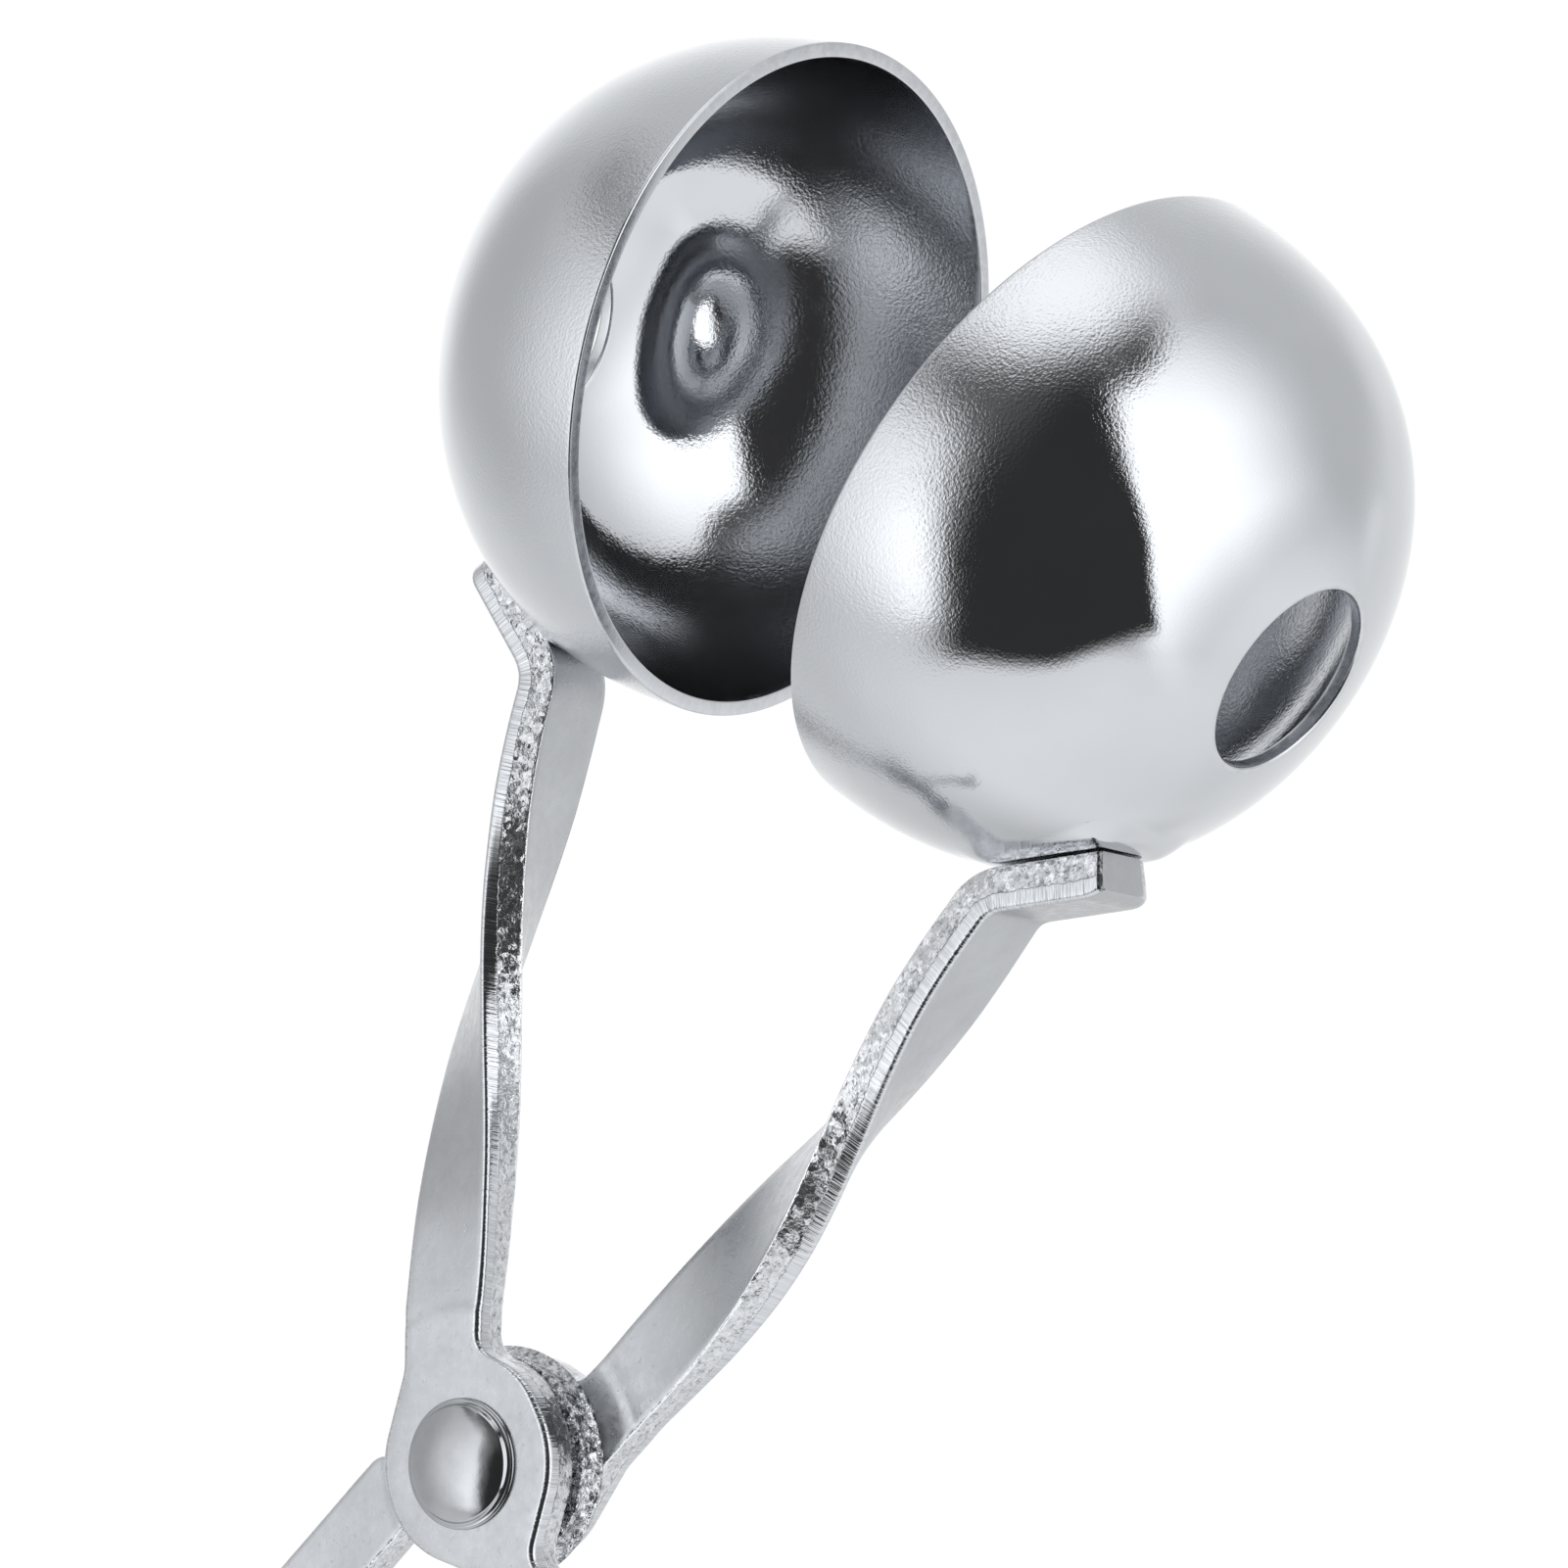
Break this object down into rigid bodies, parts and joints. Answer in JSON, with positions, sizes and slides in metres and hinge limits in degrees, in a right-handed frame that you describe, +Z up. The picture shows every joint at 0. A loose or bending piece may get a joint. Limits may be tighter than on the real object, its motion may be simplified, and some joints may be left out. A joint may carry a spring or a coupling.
{
  "type": "meatball scoop",
  "caption": "Scissor-action meatball scoop: riveted sheet-steel levers with twisted arms carry half-ball cups that close on a ball and drain through round holes.",
  "frame": {"origin": "centre of the bounding box's base, on the table that the tool lies on", "axes": "+X from the handles towards the cups, +Y towards the left cup, +Z up from the table; the rivet leans a little towards the handles"},
  "size_m": [0.2008, 0.067, 0.0462],
  "materials": {
    "strip_steel": "tumbled satin faces with sheared edges",
    "cup_steel": "polished, mirror bright inside and softer outside",
    "rivet_steel": "polished dome",
    "spacer_steel": "plain with a broken, grainy edge"
  },
  "bodies": {
    "right_half": {"rear_lever": "strip_steel", "right_cup": "cup_steel", "pivot_rivet": "rivet_steel", "spacer_washer": "spacer_steel"},
    "left_half": {"front_lever": "strip_steel", "left_cup": "cup_steel"}
  },
  "joints": [
    {"name": "pivot", "type": "hinge", "parent": "right_half", "child": "left_half", "pos_m": [0.00567, 0, 0.01636], "axis": [-0.1089, 0, 0.9941], "range_deg": [-18, 42]}
  ]
}
